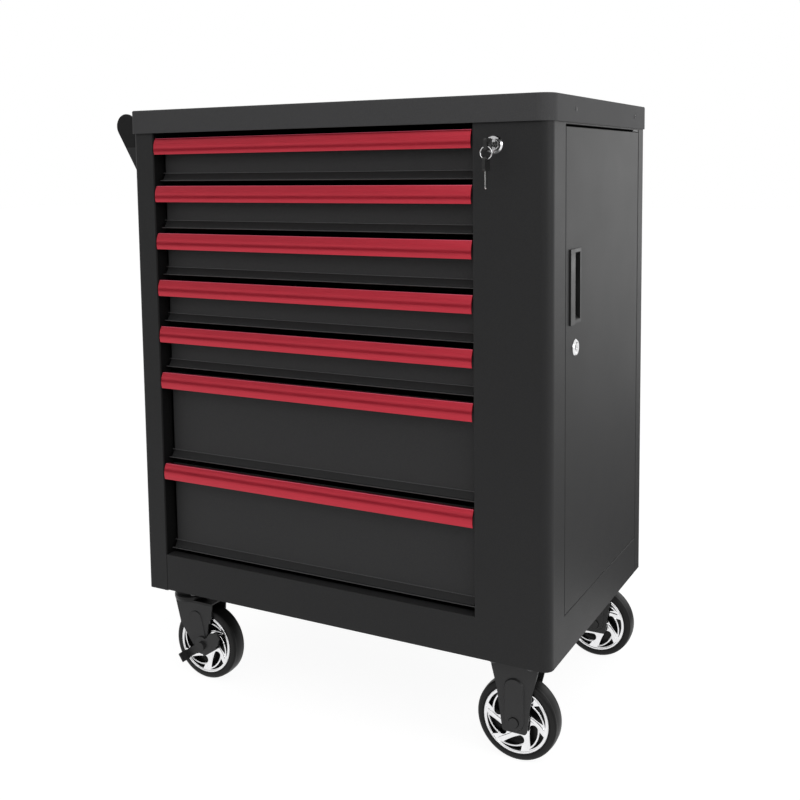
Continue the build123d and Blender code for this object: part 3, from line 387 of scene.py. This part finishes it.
def cross_screw(radius, height, count=64, rows=22):
    """Pan-head screw with a cross recess.

    The dome rises from a quarter of the height at the rim: z = h (1/4 + 3/4 sqrt(1 - s^2.6)) at
    the share s of the radius. The recess is 62% of the height deep where both slopes, one across
    an arm of the cross and one at its end, are at their full depth.
    """
    share, angle = np.meshgrid(
        np.linspace(0, 1, rows), np.linspace(0, 2 * pi, count, endpoint=False), indexing="ij")
    x, y = radius * share * np.cos(angle), radius * share * np.sin(angle)
    dome = height * (0.25 + 0.75 * np.sqrt(np.clip(1 - share ** 2.6, 0, 1)))
    arm_width, arm_length, recess_depth = 0.11 * radius, 0.55 * radius, 0.62 * height
    across = np.minimum(np.abs(x), np.abs(y)) / arm_width
    along = np.maximum(np.abs(x), np.abs(y)) / arm_length
    recess = np.clip(1.5 - across, 0, 1) * np.clip(4 - 4 * along, 0, 1)
    top = np.stack([x, y, dome - recess_depth * recess], axis=-1)
    foot = np.stack([x[-1], y[-1], np.zeros(count)], axis=-1)[None]
    return np.concatenate([top, foot, foot * 0])


def hex_bolt(flats, height, washer_radius, washer_height, count=72):
    """Hexagon head with a chamfered crown, on a washer.

    The side's radius is half the flats over the cosine of the angle to the nearest flat. The
    crown is the same, but no more than a fiftieth over half the flats.
    """
    angle = np.linspace(0, 2 * pi, count, endpoint=False)
    side = flats / 2 / np.cos((angle + pi / 6) % (pi / 3) - pi / 6)
    crown = np.minimum(side, 1.02 * flats / 2)
    full = np.ones(count)
    top = washer_height + height
    rings = [
        (0 * full, top), (0.55 * crown, top), (0.95 * crown, top),
        (side, washer_height + 0.86 * height), (side, washer_height),
        (washer_radius * full, washer_height), (washer_radius * full, 0.0), (0 * full, 0.0),
    ]
    return np.array([
        np.stack([radius * np.cos(angle), radius * np.sin(angle), z * full], axis=-1)
        for radius, z in rings])


def domed_strip(path, half_width, height, columns=10):
    """Low rib along a path in X and Y.

    Its section at each point is half an ellipse, the half-width to each side and the height
    tall, closed by its chord. It comes to a point where the half-width is 0.
    """
    along = np.gradient(path, axis=0)
    along /= np.linalg.norm(along, axis=1)[:, None]
    across = np.stack([-along[:, 1], along[:, 0]], axis=-1)
    turn = np.linspace(0, pi, columns)
    wide = half_width[:, None] * np.cos(turn)
    tall = (half_width > 0)[:, None] * height * np.sin(turn)
    x = path[:, 0, None] + across[:, 0, None] * wide
    y = path[:, 1, None] + across[:, 1, None] * wide
    return np.stack([x, y, tall], axis=-1)


def swept(radii, angles, count):
    """Points of a curve through places given by radius and angle in degrees.

    Radius and angle are each the polynomial of the share along the curve that passes through
    their values at equal steps.
    """
    step = np.linspace(0, 1, len(radii))
    share = np.linspace(0, 1, count)
    radius = np.polyval(np.polyfit(step, radii, len(radii) - 1), share)
    angle = np.radians(np.polyval(np.polyfit(step, angles, len(angles) - 1), share))
    return np.stack([radius * np.cos(angle), radius * np.sin(angle)], axis=-1)


def bead(start, end, y, z, radius, count=16):
    """Round bead along X: a circle about (y, z), drawn in over its last 0.3 mm at both ends."""
    taper = 0.0003
    section = np.linspace(0, 2 * pi, count, endpoint=False)
    along = np.array([start, start, start + taper, end - taper, end, end])
    girth = radius * np.array([0, 0.7, 1, 1, 0.7, 0])
    return np.stack([
        np.repeat(along[:, None], count, axis=1),
        y + np.outer(girth, np.cos(section)),
        z + np.outer(girth, np.sin(section)),
    ], axis=-1)


# A wheel cover's ribs: radii as shares of the cover's and angles in degrees from the cell's start,
# from the hub outwards on a blade and from the ring inwards on a bar.
CELLS = 6
BLADE_RADII, BLADE_ANGLES = np.array([0.30, 0.47, 0.69, 0.90]), np.array([46, 26, 10, 1])
BAR_RADII, BAR_ANGLES = np.array([0.885, 0.80, 0.715]), np.array([8, 33, 61])
BLADE_HALF_W, BLADE_RISE = 0.0034, 0.0011
BAR_HALF_W, BAR_RISE = 0.0012, 0.0008
RING_SHARE, RING_HALF_W, RING_RISE = 0.963, 0.0013, 0.0008


def cover_ribs(radius, turn, points=28):
    """Raised work of a cover drawn round Z: a rib down each blade and bar, a bead round the ring.

    A rib's half-width is its greatest times the root of the sine of half a turn along it.
    """
    taper = np.sin(np.linspace(0, pi, points)) ** 0.5
    taper[[0, -1]] = 0
    surfaces = []
    for cell in range(CELLS):
        start = turn + cell * 360 / CELLS
        blade = swept(BLADE_RADII * radius, BLADE_ANGLES + start, points)
        surfaces.append(domed_strip(blade, BLADE_HALF_W * taper, BLADE_RISE))
        bar = swept(BAR_RADII * radius, BAR_ANGLES + start, points)
        surfaces.append(domed_strip(bar, BAR_HALF_W * taper, BAR_RISE))
    middle = RING_SHARE * radius
    profile = [
        (middle - RING_HALF_W * cos(a), RING_RISE * sin(a)) for a in np.linspace(0, pi, 10)]
    surfaces.append(turned(profile + [(middle - RING_HALF_W, 0.0)], 96))
    return surfaces


# ---- from surfaces to pieces ----
def facing(surface, direction, seat):
    """Moves a surface drawn round Z so that Z points along a direction from its seat."""
    turn = np.array(Vector(direction).to_track_quat("Z", "Y").to_matrix())
    return surface @ turn.T + np.array(seat)


def on_wheel(surface, outward, seat):
    """Stands a surface drawn round Z on a wheel's face: its y goes up and its z outward.

    Its x goes along X on the front face, where outward is -1, and against it on the back one.
    """
    x, y, z = surface[..., 0], surface[..., 1], surface[..., 2]
    return np.stack([-outward * x, outward * z, y], axis=-1) + np.array(seat)


def grid_faces(rows, columns, first):
    """Quads between neighbouring rows of a grid whose last column joins its first."""
    row, column = np.meshgrid(np.arange(rows - 1), np.arange(columns), indexing="ij")
    after = (column + 1) % columns
    near, far = row * columns, (row + 1) * columns
    corners = (near + column, near + after, far + after, far + column)
    return np.stack(corners, axis=-1).reshape(-1, 4) + first


def surface_piece(name, surfaces, finish, body, crease=35):
    """One mesh from closed surfaces, smooth but for creases sharper than that many degrees."""
    points, faces, first = [], [], 0
    for surface in surfaces:
        rows, columns, _ = surface.shape
        points.append(surface.reshape(-1, 3))
        faces.append(grid_faces(rows, columns, first))
        first += rows * columns
    mesh = bpy.data.meshes.new(name)
    mesh.from_pydata(np.concatenate(points).tolist(), [], np.concatenate(faces).tolist())
    shell = bmesh.new()
    shell.from_mesh(mesh)
    bmesh.ops.remove_doubles(shell, verts=shell.verts, dist=1e-6)
    bmesh.ops.recalc_face_normals(shell, faces=shell.faces)
    shell.to_mesh(mesh)
    shell.free()
    mesh.polygons.foreach_set("use_smooth", np.ones(len(mesh.polygons), dtype=bool))
    mesh.set_sharp_from_angle(angle=radians(crease))
    mesh.materials.append(finish)
    piece = bpy.data.objects.new(name, mesh)
    bpy.context.scene.collection.objects.link(piece)
    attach(piece, body)


BED = 0.0001    # depth that a fixing or a rib is let into its seat

# Two screws in each end of the lid, halfway down its skirt.
LID_SCREW_FRONT, LID_SCREW_BACK, LID_SCREW_DROP = 0.0995, 0.0755, 0.019
lid_low, lid_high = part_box("worktop")
lid_screw = cross_screw(radius=0.0036, height=0.0014)
lid_screws = []
for x, outward in ((lid_low.x, -1), (lid_high.x, 1)):
    for y in (lid_low.y + LID_SCREW_FRONT, lid_high.y - LID_SCREW_BACK):
        seat = (x - outward * 2 * BED, y, lid_high.z - LID_SCREW_DROP)
        lid_screws.append(facing(lid_screw, (outward, 0, 0), seat))
surface_piece("worktop_screws", lid_screws, bolt_zinc, "cabinet")

# Two screws through the foot of each handle bracket.
BRACKET_SHEET, BRACKET_SCREW_IN, BRACKET_SCREWS_UP = 0.003, 0.0125, (0.018, 0.054)
foot_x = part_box("left_side")[0].x - BRACKET_SHEET
foot_screw = cross_screw(radius=0.0045, height=0.0024)
foot_screws = []
for y in (bracket_low.y + BRACKET_SCREW_IN, bracket_high.y - BRACKET_SCREW_IN):
    for up in BRACKET_SCREWS_UP:
        seat = (foot_x + BED, y, bracket_low.z + up)
        foot_screws.append(facing(foot_screw, (-1, 0, 0), seat))
surface_piece("handle_screws", foot_screws, bolt_zinc, "cabinet")

# Four bolts under each caster's plate.
PLATE_SHEET, PLATE_HALF_W, BOLT_X, BOLT_Y = 0.003, 0.036, 0.029, 0.0295
plate_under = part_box("swivel_plates")[1].z - PLATE_SHEET
plate_bolt = hex_bolt(flats=0.010, height=0.0034, washer_radius=0.0062, washer_height=0.0010)
bolts = []
for name in ("swivel_plates", "fixed_forks"):
    low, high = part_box(name)
    middle_x = (low.x + high.x) / 2
    for middle_y in (low.y + PLATE_HALF_W, high.y - PLATE_HALF_W):
        for dx in (-BOLT_X, BOLT_X):
            for dy in (-BOLT_Y, BOLT_Y):
                seat = (middle_x + dx, middle_y + dy, plate_under + BED)
                bolts.append(facing(plate_bolt, (0, 0, -1), seat))
surface_piece("caster_bolts", bolts, bolt_zinc, "cabinet")

# Ribs on both covers of each wheel, turned by the degrees that the wheel has rolled.
ROLLED = (32, 12, 49.5, 25)
for place, turn in zip(CASTERS, ROLLED):
    low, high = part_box(f"trim_{place}")
    middle, radius = (low + high) / 2, (high.x - low.x) / 2
    ribs = []
    for outward, face in ((-1, low.y), (1, high.y)):
        seat = (middle.x, face - outward * BED, middle.z)
        ribs += [on_wheel(surface, outward, seat) for surface in cover_ribs(radius, turn)]
    surface_piece(f"cover_ribs_{place}", ribs, cover_chrome, f"wheel_{place}", 30)

# The rolled lip on top of each pull, and two hems along each drawer's foot: each hem's place
# behind the cabinet's front, its height over the drawer's lowest edge and its radius.
LIP_BACK, LIP_DROP, LIP_R = 0.0059, 0.0006, 0.0009
HEMS = ((0.0218, 0.0135, 0.0008), (0.0134, 0.0014, 0.0009))
front_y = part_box("front_frame")[0].y
for number in DRAWERS:
    low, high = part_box(f"drawer_pull_{number}")
    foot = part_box(f"drawer_{number}")[0].z
    lip = bead(low.x, high.x, low.y + LIP_BACK, high.z - LIP_DROP, LIP_R)
    # The lip's lighter crimson is a painted glint on its polish.
    surface_piece(f"pull_lip_{number}", [lip], lip_glint_red, f"drawer_{number}")
    # The hems' lighter coat is a painted highlight along each drawer's folds.
    hems = [bead(low.x, high.x, front_y + back, foot + up, radius) for back, up, radius in HEMS]
    surface_piece(f"drawer_hems_{number}", hems, hem_highlight_coat, f"drawer_{number}")

# Three rivets inside each drawer's walls hold the slides' inner members.
SLIDE_T, MIDDLE_INSET, WALL_SHEET = 0.0123, 0.00155, 0.0012
RIVET_FRONT, RIVET_BACK = 0.075, 0.045
slide_rivet = rivet(radius=0.0032, height=0.0012)
for number in DRAWERS:
    low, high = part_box(f"drawer_{number}")
    slide_low, slide_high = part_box(f"slide_middle_{number}")
    middle_z = (slide_low.z + slide_high.z) / 2
    heads = []
    for x, inward in ((slide_low.x, 1), (slide_high.x, -1)):
        wall = x + inward * (SLIDE_T - MIDDLE_INSET + WALL_SHEET)
        for y in (low.y + RIVET_FRONT, (low.y + high.y) / 2, high.y - RIVET_BACK):
            seat = (wall - inward * BED, y, middle_z)
            heads.append(facing(slide_rivet, (inward, 0, 0), seat))
    surface_piece(f"slide_rivets_{number}", heads, slide_zinc, f"drawer_{number}")


# ---- room and floor ----
def seen_and_lighting(tree, seen, lighting):
    """The seen shader for the camera, mirrors and glass, and the lighting one for all else."""
    path = tree.nodes.new("ShaderNodeLightPath").outputs
    direct = worked_out(tree, "Math", "MAXIMUM", path["Is Camera Ray"], path["Is Glossy Ray"])
    looking = worked_out(tree, "Math", "MAXIMUM", direct, path["Is Transmission Ray"])
    mix = tree.nodes.new("ShaderNodeMixShader")
    tree.links.new(looking, mix.inputs["Fac"])
    tree.links.new(lighting, mix.inputs[1])
    tree.links.new(seen, mix.inputs[2])
    return mix.outputs["Shader"]


def one_colour(tree, kind, **constants):
    """The output of a plain shader of that kind with its constants."""
    node = tree.nodes.new(f"ShaderNode{kind}")
    for socket, value in constants.items():
        node.inputs[socket].default_value = value
    return node.outputs[0]


ROOM_LIGHT = 0.5        # the white room shows at 1
PAPER = (0.8, 0.8, 0.8, 1)
SHOWN_PAPER, SHOWN_GLOW = (0.22, 0.22, 0.22, 1), 0.92
FLOOR_HALF, FLOOR_DROP = 20.0, 0.0004

world = bpy.data.worlds.new("studio")
bpy.context.scene.world = world
world.use_nodes = True
tree = world.node_tree
tree.nodes.clear()
white_room = one_colour(tree, "Background", Color=(1, 1, 1, 1), Strength=1.0)
room_light = one_colour(tree, "Background", Color=(1, 1, 1, 1), Strength=ROOM_LIGHT)
world_out = tree.nodes.new("ShaderNodeOutputWorld")
tree.links.new(seen_and_lighting(tree, white_room, room_light), world_out.inputs["Surface"])

paper = bpy.data.materials.new("studio_paper")
paper.use_nodes = True
tree = paper.node_tree
tree.nodes.clear()
shown = tree.nodes.new("ShaderNodeAddShader")
tree.links.new(one_colour(tree, "Emission", Strength=SHOWN_GLOW), shown.inputs[0])
tree.links.new(one_colour(tree, "BsdfDiffuse", Color=SHOWN_PAPER), shown.inputs[1])
matt = one_colour(tree, "BsdfDiffuse", Color=PAPER)
paper_out = tree.nodes.new("ShaderNodeOutputMaterial")
tree.links.new(seen_and_lighting(tree, shown.outputs[0], matt), paper_out.inputs["Surface"])


def flat_card(name, corners, finish):
    """A stage piece of one face between four corners."""
    mesh = bpy.data.meshes.new(name)
    mesh.from_pydata(corners, [], [(0, 1, 2, 3)])
    mesh.materials.append(finish)
    card = bpy.data.objects.new(name, mesh)
    bpy.context.scene.collection.objects.link(card)
    card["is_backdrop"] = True
    return card


half, z = FLOOR_HALF, -FLOOR_DROP
floor_corners = [(-half, -half, z), (half, -half, z), (half, half, z), (-half, half, z)]
flat_card("studio_floor", floor_corners, paper)


# ---- lamps and cards ----
def softbox(name, seat, target, size, power):
    """A square lamp at a seat, turned to its target."""
    lamp = bpy.data.lights.new(name, "AREA")
    lamp.shape = "RECTANGLE"
    lamp.size, lamp.size_y, lamp.energy = size, size, power
    light = bpy.data.objects.new(name, lamp)
    light.location = seat
    light.rotation_euler = (Vector(target) - Vector(seat)).to_track_quat("-Z", "Y").to_euler()
    bpy.context.scene.collection.objects.link(light)


def flag(name, corners, shade=0.3, glow=0.0, shadow=True):
    """A card that shapes the light and isn't seen; it glows as strongly as glow, and without
    shadow it is only in reflections.
    """
    finish, _, _ = new_finish(
        f"{name}_black", Base_Color=(shade, shade, shade, 1), Roughness=1.0,
        Specular_IOR_Level=0.0, Emission_Color=(1, 1, 1, 1), Emission_Strength=glow)
    card = flat_card(name, corners, finish)
    card.visible_camera = False
    card.visible_diffuse = card.visible_shadow = shadow


def standing(start, end, low, high):
    """Corners of an upright card over the line from start to end, from low to high."""
    return [(*start, low), (*end, low), (*end, high), (*start, high)]


# A screen of dark cards stands round the front, from the left to the right.
LEFT, FRONT_LEFT, FRONT_RIGHT, RIGHT = (-3.4, -2.2), (-0.7, -3.4), (1.1, -3.4), (2.6, -1.5)
flag("left_flag", standing(FRONT_LEFT, LEFT, 0.1, 1.0))
flag("front_flag", standing(FRONT_RIGHT, FRONT_LEFT, 0.0, 1.0))
flag("corner_flag", standing(RIGHT, FRONT_RIGHT, 0.0, 1.3), shade=0.02)

# On the floor behind the door: it darkens the door's lower part.
door_shade = [(0.36, 0.45, 0.001), (1.1, 0.45, 0.001), (1.6, 2.4, 0.001), (0.6, 2.4, 0.001)]
flag("door_flag", door_shade, shadow=False)

# Over the left, a pale card with a faint glow of its own, seen only in reflections: it tones the
# upper side of the pulls down.
lip_shade = [(-0.6, -2.2, 1.5), (-3.4, -2.2, 1.5), (-3.4, -0.3, 2.6), (-0.6, -0.3, 2.6)]
flag("lip_flag", lip_shade, shade=0.9, glow=0.27, shadow=False)

softbox("right_softbox", (2.3, -0.7, 1.2), (0.4, -0.1, 0.9), size=0.9, power=8)
softbox("rim_softbox", (1.25, 1.9, 0.95), (0.4, 0.0, 0.85), size=0.9, power=3.5)
softbox("front_softbox", (1.7, -2.3, 2.2), (0.0, 0.0, 0.5), size=1.4, power=12)


# ---- camera: in front on the right, a little over the chest's middle ----
SENSOR_MM, LENS_MM, SHIFT_UP = 36.0, 48.078, -0.1584
YAW, PITCH, ROLL = 0.4896, 0.0977, -0.0117          # turn to the left, look down, lean
FROM_CORNER = Vector((1.23694, -1.38151, 0.71833))  # from the cabinet's lower left front corner

camera_data = bpy.data.cameras.new("camera")
camera_data.sensor_width = SENSOR_MM
camera_data.lens = LENS_MM
camera_data.shift_y = SHIFT_UP
camera = bpy.data.objects.new("camera", camera_data)
ahead = Vector((-sin(YAW) * cos(PITCH), cos(YAW) * cos(PITCH), -sin(PITCH)))
level = Vector((cos(YAW), sin(YAW), 0))
upward = level.cross(ahead)
right = cos(ROLL) * level + sin(ROLL) * upward
top = cos(ROLL) * upward - sin(ROLL) * level
turn = Matrix((right, top, -ahead)).transposed()
front_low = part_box("front_frame")[0]
corner = Vector((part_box("left_side")[0].x, front_low.y, front_low.z))
camera.matrix_world = Matrix.Translation(corner + FROM_CORNER) @ turn.to_4x4()
bpy.context.scene.collection.objects.link(camera)
bpy.context.scene.camera = camera
bpy.context.scene.view_settings.view_transform = "Standard"

low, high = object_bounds()
